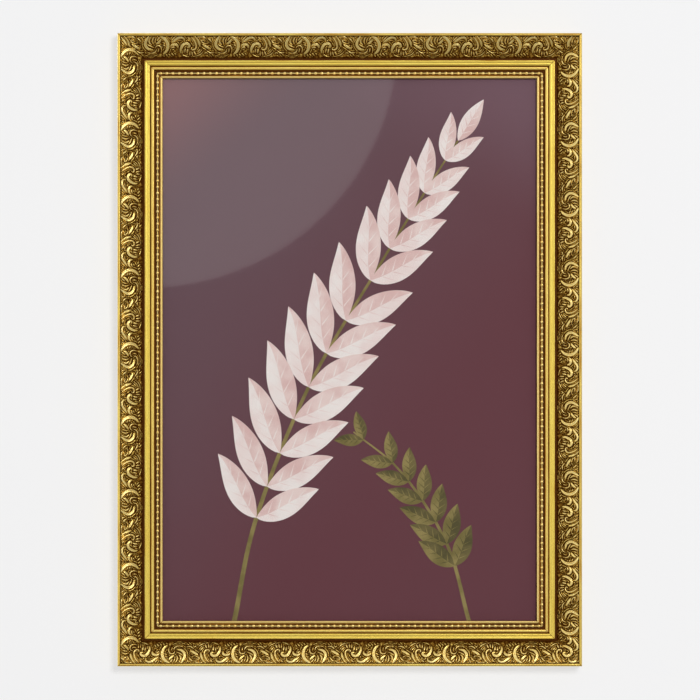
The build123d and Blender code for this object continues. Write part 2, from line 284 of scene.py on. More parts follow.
for side in inward_ways:
    ends = half_run(side) - inwards - mitre_gap
    stations = [-ends, mitre_ease - ends, ends - mitre_ease, ends]
    points = [on_rail(side, along, inwards, height) for along in stations]
    quads, corners = [], []
    for number in range(len(stations) - 1):
        for index in range(rail_points):
            following = (index + 1) % rail_points
            a, b = number * rail_points, (number + 1) * rail_points
            quads.append((a + index, b + index, b + following, a + following))
            here, there = stations[number], stations[number + 1]
            corners += [
                (here[index], path[index]),
                (there[index], path[index]),
                (there[following], path[index + 1]),
                (here[following], path[index + 1]),
            ]
    last = (len(stations) - 1) * rail_points
    caps = [tuple(range(rail_points)), tuple(last + index for index in reversed(range(rail_points)))]
    corners += [(inwards[index], height[index]) for index in range(rail_points)]
    corners += [(inwards[index], height[index]) for index in reversed(range(rail_points))]
    mesh = bpy.data.meshes.new(f"{side}_gilded_rail")
    mesh.from_pydata(np.concatenate(points).tolist(), [], quads + caps)
    mesh.materials.append(gilt)
    mesh.materials.append(bare_wood)
    bare = [index >= bare_from for index in range(rail_points)] * (len(stations) - 1) + [True, True]
    mesh.polygons.foreach_set("material_index", np.array(bare, dtype=np.int32))
    mesh.uv_layers.new(name="run").data.foreach_set("uv", np.array(corners, dtype=np.float32).ravel())
    end_dark = np.maximum(dark, mitre_dark)
    kept_dark = np.concatenate([end_dark, dark, dark, end_dark])
    mesh.attributes.new("stain", "FLOAT", "POINT").data.foreach_set("value", kept_dark.astype(np.float32))
    outer_grain = np.where(inwards < grain_reach, side_grain, edge_grain)
    outer_grain = np.where(height < crest_top * mm, outer_grain, face_grain)
    for name, amount in (("grain", outer_grain), ("pale", pale)):
        amount = np.tile(amount, len(stations)).astype(np.float32)
        mesh.attributes.new(name, "FLOAT", "POINT").data.foreach_set("value", amount)
    mesh.shade_smooth()
    mesh.set_sharp_from_angle(angle=crisp_rail)
    rail = bpy.data.objects.new(f"{side}_gilded_rail", mesh)
    bpy.context.scene.collection.objects.link(rail)
    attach(rail, "frame_body")
    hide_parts(f"{side}_rail")

# Ornament strips. Composition pressed in a running mould and glued into the sloping recess of each rail.
# It is stained dark all over, and gold is rubbed on what stands up: scrolls, leaves and curls that repeat
# along the rail. A stroke of the mould is a width, a share of its depth, and points; tenths of a millimetre.
strip_gap, mould_repeat, trimmed_off = 0.05, 37.1, 0.25
strip_width = ornament_end - ornament_start - 2 * strip_gap
mould_strokes = [
    (5, 0.55, [(90, 94), (104, 102), (124, 107), (146, 106), (168, 100)]),
    (5, 0.50, [(98, 88), (113, 95), (134, 98), (154, 94)]),
    (4, 0.45, [(112, 111), (130, 114), (150, 112)]),
    (6, 0.55, [(12, 104), (25, 90)]),
    (5, 0.50, [(29, 105), (39, 93)]),
    (5, 0.45, [(45, 108), (53, 95)]),
    (5, 0.45, [(0, 100), (8, 88)]),
    (5, 0.45, [(60, 107), (72, 99)]),
    (4, 0.50, [(170, 105), (187, 93)]),
    (4, 0.45, [(179, 114), (198, 96)]),
    (5, 0.60, [(203, 96), (212, 87), (222, 96)]),
    (5, 0.65, [(225, 77), (238, 94), (256, 103), (277, 107), (295, 108)]),
    (5, 0.65, [(233, 70), (246, 86), (260, 93), (268, 94)]),
    (5, 0.65, [(241, 68), (255, 83), (262, 85)]),
    (5, 0.55, [(300, 110), (318, 107), (334, 100), (346, 92)]),
    (7, 0.85, [(267, 100), (276, 82)]),
    (6, 0.80, [(284, 104), (288, 82)]),
    (6, 0.80, [(299, 104), (298, 80)]),
    (8, 0.95, [(313, 90), (308, 68)]),
    (6, 0.85, [(326, 88), (321, 66)]),
    (5, 0.65, [(338, 94), (334, 76)]),
    (7, 0.80, [(180, 37), (166, 24), (152, 13)]),
    (6, 0.75, [(182, 35), (190, 24), (201, 14)]),
    (5, 0.70, [(177, 28), (176, 16), (184, 6)]),
    (4, 0.60, [(165, 12), (172, 5)]),
    (7, 0.80, [(210, 19), (220, 10), (238, 7), (260, 10)]),
    (5, 0.65, [(216, 19), (236, 18)]),
    (6, 0.80, [(28, 32), (16, 20), (3, 6)]),
    (7, 0.85, [(30, 32), (43, 20), (60, 7)]),
    (4, 0.70, [(27, 22), (22, 7)]),
    (4, 0.70, [(32, 20), (38, 7)]),
    (6, 0.80, [(98, 26), (90, 16), (82, 6)]),
    (9, 0.95, [(105, 44), (94, 38), (83, 28), (76, 18)]),
    (5, 0.75, [(109, 41), (108, 26), (102, 10)]),
    (6, 0.80, [(117, 45), (122, 33), (120, 19), (113, 7)]),
    (8, 0.90, [(129, 48), (140, 35), (139, 19), (131, 7)]),
    (5, 0.70, [(114, 62), (130, 56), (146, 47), (153, 35)]),
    (6, 0.80, [(103, 68), (107, 82), (118, 90), (137, 91), (153, 85)]),
    (12, 1.00, [(122, 74), (145, 69), (157, 57), (161, 44), (157, 30), (149, 17), (141, 5)]),
    (5, 0.85, [(96, 86), (92, 76), (91, 64)]),
    (6, 0.90, [(80, 90), (76, 72), (80, 58), (91, 52), (104, 56), (109, 66)]),
    (6, 0.80, [(168, 86), (187, 90), (201, 83), (210, 75)]),
    (6, 0.80, [(188, 75), (203, 69)]),
    (6, 0.85, [(183, 61), (198, 59)]),
    (6, 0.80, [(195, 51), (210, 52)]),
    (10, 1.00, [(188, 68), (203, 62), (217, 54), (233, 40)]),
    (5, 0.80, [(207, 30), (200, 37), (215, 41), (231, 35), (238, 26), (223, 25), (210, 29)]),
    (5, 0.75, [(239, 47), (242, 35), (255, 17), (265, 4)]),
    (10, 0.95, [(244, 58), (247, 45), (251, 33), (260, 21), (271, 4)]),
    (5, 0.80, [(257, 57), (260, 40), (267, 24), (281, 4)]),
    (5, 0.80, [(284, 57), (276, 51), (276, 38), (285, 24), (300, 8)]),
    (
        8,
        1.00,
        [(283, 59), (290, 65), (287, 72), (277, 73), (268, 68), (264, 56), (267, 40), (275, 24), (290, 6)],
    ),
    (6, 0.80, [(308, 39), (315, 29), (308, 19)]),
    (5, 0.70, [(290, 33), (301, 24), (311, 21)]),
    (5, 0.70, [(293, 24), (307, 9)]),
    (
        12,
        1.00,
        [(346, 90), (346, 73), (340, 59), (332, 47), (319, 41), (306, 44), (299, 53), (303, 59), (311, 60)],
    ),
    (5, 0.75, [(339, 24), (355, 25), (371, 31), (384, 39), (391, 47)]),
    (9, 0.95, [(325, 31), (328, 18), (339, 11), (355, 12), (371, 22), (387, 34), (399, 48)]),
    (11, 1.00, [(360, 64), (363, 52), (374, 46), (387, 48), (397, 57), (406, 68)]),
    (6, 0.85, [(376, 62), (387, 60), (397, 66)]),
    (7, 0.85, [(47, 70), (61, 60)]),
    (7, 0.90, [(48, 57), (66, 47)]),
    (7, 0.85, [(50, 43), (70, 34)]),
    (6, 0.80, [(56, 30), (73, 23)]),
    (14, 1.00, [(67, 96), (51, 81), (43, 62), (43, 43), (50, 28), (63, 15), (80, 6)]),
]
mould_step, pit_width, pit_height = 0.1, 0.26, 0.12
mould_u = np.arange(round(mould_repeat / mould_step)) * mould_step
mould_v = np.arange(round((strip_width + trimmed_off) / mould_step) + 1) * mould_step
pitted = np.random.default_rng(11).normal(size=(len(mould_u), len(mould_v)))
pit_cells = pit_width / mould_step
waves = np.hypot(*np.meshgrid(*(np.fft.fftfreq(count) for count in pitted.shape), indexing="ij"))
pitted = np.fft.ifft2(np.fft.fft2(pitted) * np.exp(-2 * (np.pi * waves * pit_cells) ** 2)).real
mould = pit_height * pitted / pitted.std()


def smooth_line(points, spacing):
    """Points along the smooth curve that passes through those given."""
    given = np.array(points, dtype=float)
    padded = np.vstack([2 * given[0] - given[1], given, 2 * given[-1] - given[-2]])
    runs = []
    for a, b, c, d in zip(padded, padded[1:], padded[2:], padded[3:]):
        count = max(int(np.linalg.norm(c - b) / spacing), 2)
        t = (np.arange(count) / count)[:, None]
        curve = 2 * b + (c - a) * t + (2 * a - 5 * b + 4 * c - d) * t**2 + (3 * b - a - 3 * c + d) * t**3
        runs.append(curve / 2)
    return np.vstack(runs + [given[-1:]])


def side_step(line):
    """The way to the left of a line at each of its points."""
    ahead = np.gradient(line, axis=0)
    ahead /= np.linalg.norm(ahead, axis=1)[:, None]
    return np.stack([-ahead[:, 1], ahead[:, 0]], axis=-1)


tenths, line_spacing = 10, 0.15
swell_round, end_width, end_rise, swell_rise = 0.7, 0.5, 0.8, 0.2
ridge_flank, ridge_round = 1.4, 0.7
cut_width, cut_depth, cut_steep, cut_smooth = 0.36, 0.4, 1.6, 0.85
vein_from, vein_width, vein_depth = 9, 0.24, 0.6
echo_from, echo_width, echo_rise, echo_beside, echo_apart = 6, 4, 0.42, 0.82, 1.5
echoes = []
for width, _, points in mould_strokes:
    if width >= echo_from:
        line = np.array(points, dtype=float)
        aside = side_step(line) * (echo_beside * width + echo_apart * echo_width)
        echoes += [(echo_width, echo_rise, line + aside), (echo_width, echo_rise, line - aside)]
for width, rise, points in echoes + mould_strokes:
    line = smooth_line(np.array(points) / tenths, line_spacing)
    swell = np.sin(np.pi * np.linspace(0, 1, len(line))) ** swell_round
    radius = width / tenths / 2 * (end_width + swell)
    peak = rise * (end_rise + swell_rise * swell)
    reach = radius.max() + cut_width
    first, last = (line[:, 0].min() - reach) / mould_step, (line[:, 0].max() + reach) / mould_step
    cells = np.arange(math.floor(first), math.ceil(last) + 1)
    across_u = cells[:, None, None] * mould_step - line[:, 0]
    distance = np.hypot(across_u, mould_v[None, :, None] - line[:, 1])
    ridge = np.clip(1 - (distance / radius) ** ridge_flank, 0, None) ** ridge_round
    ridge = (peak * ridge).max(axis=-1)
    if width >= vein_from:
        ridge *= 1 - vein_depth * np.exp(-((distance.min(axis=-1) / vein_width) ** 2))
    cut = np.clip(cut_steep - cut_steep * (distance - radius).min(axis=-1) / cut_width, 0, 1)
    patch = mould[cells % len(mould_u)]
    patch = np.maximum(patch * (1 - cut_smooth * cut) - cut_depth * cut, -cut_depth)
    mould[cells % len(mould_u)] = np.where(ridge > 0, np.maximum(ridge, patch), patch)


def mould_at(u, v):
    """How high the mould stands at places along and across it, the repeat running on."""
    u = (u % mould_repeat) / mould_step
    v = np.clip(v / mould_step, 0, len(mould_v) - 1.001)
    u0, v0 = np.floor(u).astype(int), np.floor(v).astype(int)
    fu, fv = u - u0, v - v0
    u0, u1 = u0 % len(mould_u), (u0 + 1) % len(mould_u)
    near = mould[u0, v0] * (1 - fv) + mould[u0, v0 + 1] * fv
    far = mould[u1, v0] * (1 - fv) + mould[u1, v0 + 1] * fv
    return near * (1 - fu) + far * fu


ground_brown, ground_gold = (0.155, 0.062, 0.004, 1), (0.320, 0.175, 0.028, 1)
outer_wear_and_light_gold, cut_brown = (0.36, 0.220, 0.030, 1), (0.050, 0.0125, 0.0002, 1)
low_leaf_gold, high_leaf_gold = (0.73, 0.51, 0.120, 1), (0.95, 0.755, 0.295, 1)
rubbed, rubbed_shader, base = new_finish("rubbed_ornament_finish", specular_ior_level=0.0)
place = object_place(base)
rise = own_value(base, "rise")
speckle = noise(place, (2600, 2600, 2600), 2)
cloud = noise(place, (160, 160, 160), 2)
# The outer part of the strip is lighter and more golden: partly wear, partly painted light.
outer_wear_and_light = own_value(base, "outer_wear_and_light")
touched = between(rise + outer_wear_and_light * 0.16 + (speckle - 0.5) * 0.24 + (cloud - 0.5) * 0.2, -0.03, 0.27)
bright = between(rise + (cloud - 0.5) * 0.3, 0.2, 0.68)
ground = tint(between(speckle, 0.3, 0.7), ground_brown, ground_gold)
ground = tint(outer_wear_and_light * 0.7, ground, outer_wear_and_light_gold)
ground = tint(between(rise, -0.24, 0.02), cut_brown, ground)
leaf_gold = tint(bright, low_leaf_gold, high_leaf_gold)
feed(
    rubbed_shader,
    base_color=tint(touched, ground, leaf_gold),
    metallic=touched * 0.85,
    roughness=0.42 + (speckle - 0.5) * 0.2 - touched * 0.1,
    normal=bump(speckle, 0.25, 0.00005),
)


def whole_quads(a, b, c, d):
    """Quads of point numbers, without those that reach past a strip's mitred ends."""
    return np.stack([a, b, c, d], axis=-1)[(a >= 0) & (b >= 0) & (c >= 0) & (d >= 0)]


strip_rows, strip_thickness, crisp_strip = 54, 1.15, math.radians(80)
row_step = strip_width / strip_rows
floor_sink, sunk_from, edge_lift, lifted_to, crown = 0.35, 3.5, 0.3, 1.5, 0.3
relief_height, edge_fall, edge_relief, body_relief = 1.2, 0.25, 0.4, 0.6
inner_stain_and_shade_from, inner_stain_and_shade_amount, edge_rub_and_light_amount, edge_rub_and_light_to, outer_wear_and_light_to = 0.35, 0.2, 0.26, 2.6, 0.6
edge_dark, dark_from, dark_fall, line_dark, line_width = 0.2, 0.9, 0.5, 0.8, 0.5
pattern_starts = {"bottom": 28.75, "left": 7.25, "top": 19.75, "right": 7.0}
laid_stretches = {"bottom": 1.0137, "left": 1.0575, "top": 1.0137, "right": 1.0025}
for side in inward_ways:
    reach = half_run(side) / mm
    first = ornament_start + strip_gap
    columns = round(2 * (reach - first) / row_step)
    column_step = 2 * (reach - first) / columns
    row, column = np.meshgrid(np.arange(strip_rows + 1), np.arange(columns + 1), indexing="ij")
    used = (column >= row) & (column <= columns - row)
    number = np.where(used, np.cumsum(used.ravel()).reshape(used.shape) - 1, -1)
    across = row[used] * row_step
    along = (column[used] - columns / 2) * column_step
    end = reach - first - across
    along = np.where(column[used] == columns - row[used], end, along)
    along = np.where(column[used] == row[used], -end, along)
    share = across / strip_width
    fall = (ornament_low - ornament_high) * (across + strip_gap) / (ornament_end - ornament_start)
    slope = ornament_high + fall
    relief = mould_at(along / laid_stretches[side] + pattern_starts[side], across + trimmed_off)
    edge = np.clip(np.minimum(across, strip_width - across) / edge_fall, 0, 1)
    sunk = floor_sink * np.clip(across / sunk_from, 0, 1)
    sunk = sunk - edge_lift * np.clip(1 - across / lifted_to, 0, 1)
    raised = relief * relief_height * (edge_relief + body_relief * edge)
    top = slope - sunk + crown * np.sin(np.pi * share) + raised
    top_points = np.stack([along, across + first, top], axis=-1)
    near, far = number[:-1], number[1:]
    faces = whole_quads(near[:, :-1], near[:, 1:], far[:, 1:], far[:, :-1]).tolist()
    for r in range(strip_rows):
        faces.append([number[r, r], number[r, r + 1], number[r + 1, r + 1]])
        faces.append([number[r, columns - r - 1], number[r, columns - r], number[r + 1, columns - r - 1]])
    outer = number[0, :]
    inner = number[strip_rows, strip_rows : columns - strip_rows + 1]
    left_end = np.array([number[r, r] for r in range(strip_rows + 1)])
    right_end = np.array([number[r, columns - r] for r in range(strip_rows + 1)])
    rim = np.concatenate([outer, right_end[1:], inner[::-1][1:], left_end[::-1][1:-1]])
    below = {top_point: used.sum() + order for order, top_point in enumerate(rim)}
    under_points = top_points[rim].copy()
    under_points[:, 2] = slope[rim] - strip_thickness
    for a, b in zip(rim, np.roll(rim, -1)):
        faces.append([b, a, below[a], below[b]])
    outer_low_edge, inner_low_edge, left_low, right_low = (
        np.array([below[point] for point in run]) for run in (outer, inner, left_end, right_end)
    )
    faces.append([outer_low_edge[1], outer_low_edge[0], left_low[1]])
    faces.append([outer_low_edge[columns], outer_low_edge[columns - 1], right_low[1]])
    for r in range(1, strip_rows):
        faces.append([outer_low_edge[r + 1], outer_low_edge[r], left_low[r], left_low[r + 1]])
        a, b = columns - r, columns - r - 1
        faces.append([outer_low_edge[a], outer_low_edge[b], right_low[r + 1], right_low[r]])
    for c in range(columns - 2 * strip_rows):
        a = strip_rows + c
        faces.append([outer_low_edge[a + 1], outer_low_edge[a], inner_low_edge[c], inner_low_edge[c + 1]])
    points = np.concatenate([top_points, under_points]) * mm
    mesh = bpy.data.meshes.new(f"{side}_scroll_ornament")
    mesh.from_pydata(on_rail(side, *points.T).tolist(), [], [[int(p) for p in face] for face in faces])
    mesh.materials.append(rubbed)
    # Towards the inner edge less of the relief shows gold: partly the stain left in the recess, partly
    # painted shade on the steep inner slope.
    inner_stain_and_shade = inner_stain_and_shade_amount * np.clip((share - inner_stain_and_shade_from) / (1 - inner_stain_and_shade_from), 0, 1)
    # Near the outer edge, beside the crest, more gold shows: partly rubbed gilding, partly painted light that
    # lifts it out of the crest's shade.
    edge_rub_and_light = edge_rub_and_light_amount * np.clip(1 - across / edge_rub_and_light_to, 0, 1)
    dark_edge = edge_dark * np.clip((across - strip_width + dark_from) / dark_fall, 0, 1)
    dark_line = line_dark * np.clip(1 - across / line_width, 0, 1)
    shown_rise = relief * (1 - inner_stain_and_shade) + edge_rub_and_light - dark_edge - dark_line
    # The second value makes the outer part of the strip lighter: partly wear, partly painted light.
    for name, amount in (("rise", shown_rise), ("outer_wear_and_light", np.clip(1 - share / outer_wear_and_light_to, 0, 1))):
        amount = np.concatenate([amount, np.zeros(len(rim))]).astype(np.float32)
        mesh.attributes.new(name, "FLOAT", "POINT").data.foreach_set("value", amount)
    mesh.shade_smooth()
    mesh.set_sharp_from_angle(angle=crisp_strip)
    strip = bpy.data.objects.new(f"{side}_scroll_ornament", mesh)
    bpy.context.scene.collection.objects.link(strip)
    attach(strip, "frame_body")
    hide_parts(f"{side}_ornament")

# Bead strings. Half-round beads on a thin neck, turned as one strip, gilded and glued into the channel
# beside the sight edge. Geometry Nodes set the beads out at an even pitch.
bead_line, bead_radius, neck_radius, bead_pitch = 21.22 * mm, 0.85 * mm, 0.46 * mm, 3.3 * mm
bead_sides, bead_rings, bead_stretch, crisp_bead = 12, 8, (1.22, 1.0, 1.0), math.radians(60)
bead_yellow, bead_amber, bead_stain = (0.99, 0.75, 0.27, 1), (0.88, 0.61, 0.17, 1), (0.075, 0.032, 0.006, 1)
bead_gilt, bead_shader, base = new_finish("gilded_bead_finish", specular_ior_level=0.15)
place = object_place(base)
rise = own_value(base, "rise")
cloud = noise(place, (420, 420, 420), 2)
touched = between(rise + (cloud - 0.5) * 0.3, 0.22, 0.66)
gold = tint(between(cloud, 0.35, 0.65), bead_yellow, bead_amber)
feed(
    bead_shader,
    base_color=tint(touched, bead_stain, gold),
    metallic=touched * 0.8,
    roughness=0.46 - touched * 0.12,
)

beads_tree = bpy.data.node_groups.new("bead_string", "GeometryNodeTree")
for name, kind in (
    ("Count", "NodeSocketInt"),
    ("Pitch", "NodeSocketFloat"),
    ("Bead Radius", "NodeSocketFloat"),
    ("Neck Radius", "NodeSocketFloat"),
):
    beads_tree.interface.new_socket(name, in_out="INPUT", socket_type=kind)
beads_tree.interface.new_socket("Geometry", in_out="OUTPUT", socket_type="NodeSocketGeometry")


def tree_node(tree, kind, settings, sockets):
    """A node of a Geometry Nodes tree, with values or links for its sockets."""
    made = tree.nodes.new(kind)
    for name, value in settings.items():
        setattr(made, name, value)
    for name, value in sockets.items():
        inputs = [s for s in made.inputs if s.enabled and s.name == name]
        values = value if isinstance(value, list) else [value]
        for target, given in zip(inputs * (len(values) if len(inputs) == 1 else 1), values):
            if isinstance(given, bpy.types.NodeSocket):
                tree.links.new(given, target)
            else:
                target.default_value = given
    return made


def tree_sum(tree, operation, first, second):
    made = tree_node(tree, "ShaderNodeMath", {"operation": operation}, {"Value": [first, second]})
    return made.outputs["Value"]


def half_round(tree, geometry_socket):
    """The upper half of a round body, closed by a flat underside."""
    spot = tree_node(tree, "GeometryNodeInputPosition", {}, {}).outputs["Position"]
    parts = tree_node(tree, "ShaderNodeSeparateXYZ", {}, {"Vector": spot}).outputs
    raised = tree_sum(tree, "MAXIMUM", parts["Z"], 0.0)
    flat = tree_node(tree, "ShaderNodeCombineXYZ", {}, {"X": parts["X"], "Y": parts["Y"], "Z": raised})
    moved = {"Geometry": geometry_socket, "Position": flat.outputs["Vector"]}
    pressed = tree_node(tree, "GeometryNodeSetPosition", {}, moved).outputs["Geometry"]
    return tree_node(tree, "GeometryNodeConvexHull", {}, {"Geometry": pressed}).outputs["Convex Hull"]


inputs = tree_node(beads_tree, "NodeGroupInput", {}, {}).outputs
ball = {"Segments": bead_sides, "Rings": bead_rings, "Radius": inputs["Bead Radius"]}
dome = half_round(beads_tree, tree_node(beads_tree, "GeometryNodeMeshUVSphere", {}, ball).outputs["Mesh"])
length = tree_sum(beads_tree, "MULTIPLY", inputs["Count"], inputs["Pitch"])
rod = {"Vertices": bead_sides, "Radius": inputs["Neck Radius"], "Depth": length}
rod = tree_node(beads_tree, "GeometryNodeMeshCylinder", {}, rod).outputs["Mesh"]
laid = {"Geometry": rod, "Rotation": (0, math.pi / 2, 0)}
neck = half_round(beads_tree, tree_node(beads_tree, "GeometryNodeTransform", {}, laid).outputs["Geometry"])
gap_count = tree_sum(beads_tree, "SUBTRACT", inputs["Count"], 1.0)
start = tree_sum(beads_tree, "MULTIPLY", tree_sum(beads_tree, "MULTIPLY", gap_count, inputs["Pitch"]), -0.5)
start = tree_node(beads_tree, "ShaderNodeCombineXYZ", {}, {"X": start}).outputs["Vector"]
offset = tree_node(beads_tree, "ShaderNodeCombineXYZ", {}, {"X": inputs["Pitch"]}).outputs["Vector"]
spread = {"Count": inputs["Count"], "Start Location": start, "Offset": offset}
bead_places = tree_node(beads_tree, "GeometryNodeMeshLine", {"mode": "OFFSET"}, spread).outputs["Mesh"]
set_out = {"Points": bead_places, "Instance": dome, "Scale": bead_stretch}
set_out = tree_node(beads_tree, "GeometryNodeInstanceOnPoints", {}, set_out).outputs["Instances"]
joined = {"Geometry": [set_out, neck]}
joined = tree_node(beads_tree, "GeometryNodeJoinGeometry", {}, joined).outputs["Geometry"]
real = tree_node(beads_tree, "GeometryNodeRealizeInstances", {}, {"Geometry": joined}).outputs["Geometry"]
surface = tree_node(beads_tree, "GeometryNodeInputPosition", {}, {}).outputs["Position"]
stands_up = tree_node(beads_tree, "ShaderNodeSeparateXYZ", {}, {"Vector": surface}).outputs["Z"]
stands_up = tree_sum(beads_tree, "DIVIDE", stands_up, inputs["Bead Radius"])
stored = {"Geometry": real, "Name": "rise", "Value": stands_up}
stored = tree_node(beads_tree, "GeometryNodeStoreNamedAttribute", {"data_type": "FLOAT"}, stored)
finished = {"Geometry": stored.outputs["Geometry"], "Material": bead_gilt}
finished = tree_node(beads_tree, "GeometryNodeSetMaterial", {}, finished).outputs["Geometry"]
tree_node(beads_tree, "NodeGroupOutput", {}, {"Geometry": finished})


def grown(name, tree, values):
    """A plain mesh made by a Geometry Nodes tree with the given input values."""
    host = bpy.data.objects.new(name, bpy.data.meshes.new(name))
    bpy.context.scene.collection.objects.link(host)
    modifier = host.modifiers.new(name, "NODES")
    modifier.node_group = tree
    for item in tree.interface.items_tree:
        if item.in_out == "INPUT" and item.name in values:
            modifier[item.identifier] = values[item.name]
    ready = host.evaluated_get(bpy.context.evaluated_depsgraph_get())
    mesh = bpy.data.meshes.new_from_object(ready)
    host.modifiers.clear()
    host.data = mesh
    return host


for side in inward_ways:
    string_length = 2 * (half_run(side) - bead_line)
    count = round(string_length / bead_pitch)
    sizes = {
        "Count": count,
        "Pitch": string_length / count,
        "Bead Radius": bead_radius,
        "Neck Radius": neck_radius,
    }
    string = grown(f"{side}_bead_string", beads_tree, sizes)
    spots = np.empty(len(string.data.vertices) * 3, dtype=np.float32)
    string.data.vertices.foreach_get("co", spots)
    along, across, upwards = spots.reshape(-1, 3).T
    placed = on_rail(side, along, bead_line + across, channel_floor * mm + upwards)
    string.data.vertices.foreach_set("co", placed.astype(np.float32).ravel())
    string.data.shade_smooth()
    string.data.set_sharp_from_angle(angle=crisp_bead)
    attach(string, "frame_body")
    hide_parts(f"{side}_beads")

# Glazing. A clear sheet with polished faces, laid in the rebate against the sight edge.
# It shows the print through it and mirrors what stands in front of the frame.
glass_tint, glass_bending, polish = (0.97, 0.975, 0.97, 1), 1.5, 0.02
glass = bpy.data.materials.new("clear_glazing_finish")
glass.use_nodes = True
base = Signal(glass.node_tree)
glass.node_tree.nodes.remove(glass.node_tree.nodes["Principled BSDF"])
seen_through = base.node("ShaderNodeBsdfTransparent", {}, {"Color": glass_tint})
mirrored = base.node("ShaderNodeBsdfGlossy", {}, {"Color": (1, 1, 1, 1), "Roughness": polish})
inside = base.node("ShaderNodeNewGeometry", {}, {}, "Backfacing")
facing = base.node("ShaderNodeFresnel", {}, {"IOR": glass_bending}) * (1 - inside)
panes = glass.node_tree.nodes.new("ShaderNodeMixShader")
base.put(facing, panes.inputs[0])
base.put(seen_through, panes.inputs[1])
base.put(mirrored, panes.inputs[2])
glass.node_tree.links.new(panes.outputs[0], glass.node_tree.nodes["Material Output"].inputs["Surface"])
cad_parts["glazing"].material_slots[0].material = glass

# Print. A sheet of smooth paper pressed between the glazing and the backing board. A plum ground holds
# an arching branch of pale leaves and a low olive spray, printed with crisp edges.
sheet_low, sheet_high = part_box("picture_print")
sheet_x, sheet_z = (sheet_low.x + sheet_high.x) / 2, (sheet_low.z + sheet_high.z) / 2
sheet_half_x, sheet_half_z = (sheet_high.x - sheet_low.x) / 2 / mm, (sheet_high.z - sheet_low.z) / 2 / mm

low_plum, high_plum, paper_plum = (0.148, 0.048, 0.062, 1), (0.158, 0.090, 0.112, 1), (0.168, 0.085, 0.098, 1)
painted_reflection_rose, upper_plum, paper_grain = (0.37, 0.155, 0.157, 1), (0.205, 0.112, 0.145, 1), (1500, 1500, 1500)
plum_ink, plum_shader, base = new_finish("plum_ground_ink", specular_ior_level=0.2)
place = object_place(base)
wash = noise(place, (9, 9, 9), 3)
paper = noise(place, paper_grain, 2)
sheet_right = place.node("ShaderNodeSeparateXYZ", {}, {"Vector": place}, "X")
sheet_up = Signal(place.tree, sheet_right.socket.node.outputs["Z"])
# The ground is darker towards the bottom right and lighter towards the top.
lighter_up_and_left = sheet_up - sheet_right * 1.2 + (wash - 0.5) * 0.06
plum = tint(between(lighter_up_and_left, -0.27, 0.03), low_plum, high_plum)
# The rose patch at the upper left is painted reflection of light in the glazing.
plum = tint(between(sheet_up - sheet_right * 0.9, 0.0, 0.11) * 0.8, plum, painted_reflection_rose)
plum = tint(between(sheet_up + sheet_right * 0.6, -0.04, 0.05), plum, upper_plum)
feed(plum_shader, base_color=tint(paper * 0.2, plum, paper_plum), roughness=0.5 + paper * 0.2)


def leaf_ink(name, first, second, size):
    """An ink that drifts between two near colours, on the paper's fine grain."""
    ink, shader, base = new_finish(name, specular_ior_level=0.2)
    place = object_place(base)
    drift = noise(place, (size, size, size), 3)
    paper = noise(place, paper_grain, 2)
    colour = tint(between(drift, 0.32, 0.68), first, second)
    feed(shader, base_color=colour, roughness=0.5 + paper * 0.2)
    return ink


inks = [
    plum_ink,
    leaf_ink("pale_leaf_ink", (0.93, 0.77, 0.75, 1), (0.97, 0.88, 0.86, 1), 90),
    leaf_ink("rose_leaf_ink", (0.80, 0.54, 0.52, 1), (0.91, 0.72, 0.69, 1), 90),
    leaf_ink("olive_ink", (0.20, 0.16, 0.055, 1), (0.33, 0.26, 0.10, 1), 110),
    leaf_ink("deep_olive_ink", (0.10, 0.085, 0.035, 1), (0.19, 0.15, 0.06, 1), 110),
]
ground_ink, pale_ink, rose_ink, olive_ink, deep_olive_ink = range(len(inks))
sheet_corners = [(x * sheet_half_x, z * sheet_half_z) for x, z in ((-1, -1), (1, -1), (1, 1), (-1, 1))]
shapes = [sheet_corners]
shape_inks = [ground_ink]


def printed(points, ink):
    """A flat shape in one ink, laid over what is already printed."""
    x, z = np.asarray(points).T
    area = np.sum(x * np.roll(z, -1) - z * np.roll(x, -1))
    shapes.append([tuple(point) for point in (points if area > 0 else points[::-1])])
    shape_inks.append(ink)


def printed_stem(points, thick, thin, ink):
    """A tapering stem along a smooth line, which is given back for the leaves to grow from."""
    line = smooth_line(points, stem_spacing)
    aside = side_step(line) * np.linspace(thick, thin, len(line))[:, None] / 2
    printed(np.vstack([line + aside, (line - aside)[::-1]]), ink)
    return line


def printed_leaf(root, angle, length, width, bend, near_ink, far_ink):
    """A pointed leaf in two halves, one lit and one shaded, with a curved middle vein and fine ribs."""
    t = np.linspace(0, 1, leaf_points)
    way = np.array([math.cos(angle), math.sin(angle)])
    aside = np.array([-way[1], way[0]])
    bent = np.sin(np.pi * t / 2) ** 2 * bend * length
    vein = np.array(root) + np.outer(t * length, way) + np.outer(bent, aside)
    swell = (np.sin(np.pi * t**0.85) ** 0.9 * width / 2)[:, None]
    edge = side_step(vein) * swell
    for hand, ink, rib_ink in ((1, near_ink, far_ink), (-1, far_ink, near_ink)):
        printed(np.vstack([vein, (vein + hand * edge)[::-1][1:-1]]), ink)
        rib_tips = vein + hand * edge * rib_reach
        for number in range(rib_step, leaf_points - rib_step - 1, rib_step):
            start, tip = vein[number], rib_tips[number + rib_step]
            printed([start * 0.94 + tip * 0.06, start * 0.9 + tip * 0.1 + rib_width * way, tip], rib_ink)


def heading_at(line, index):
    """Which way a stem points at one of its points."""
    ahead = line[min(index + 1, len(line) - 1)] - line[index - 1]
    return math.atan2(ahead[1], ahead[0])


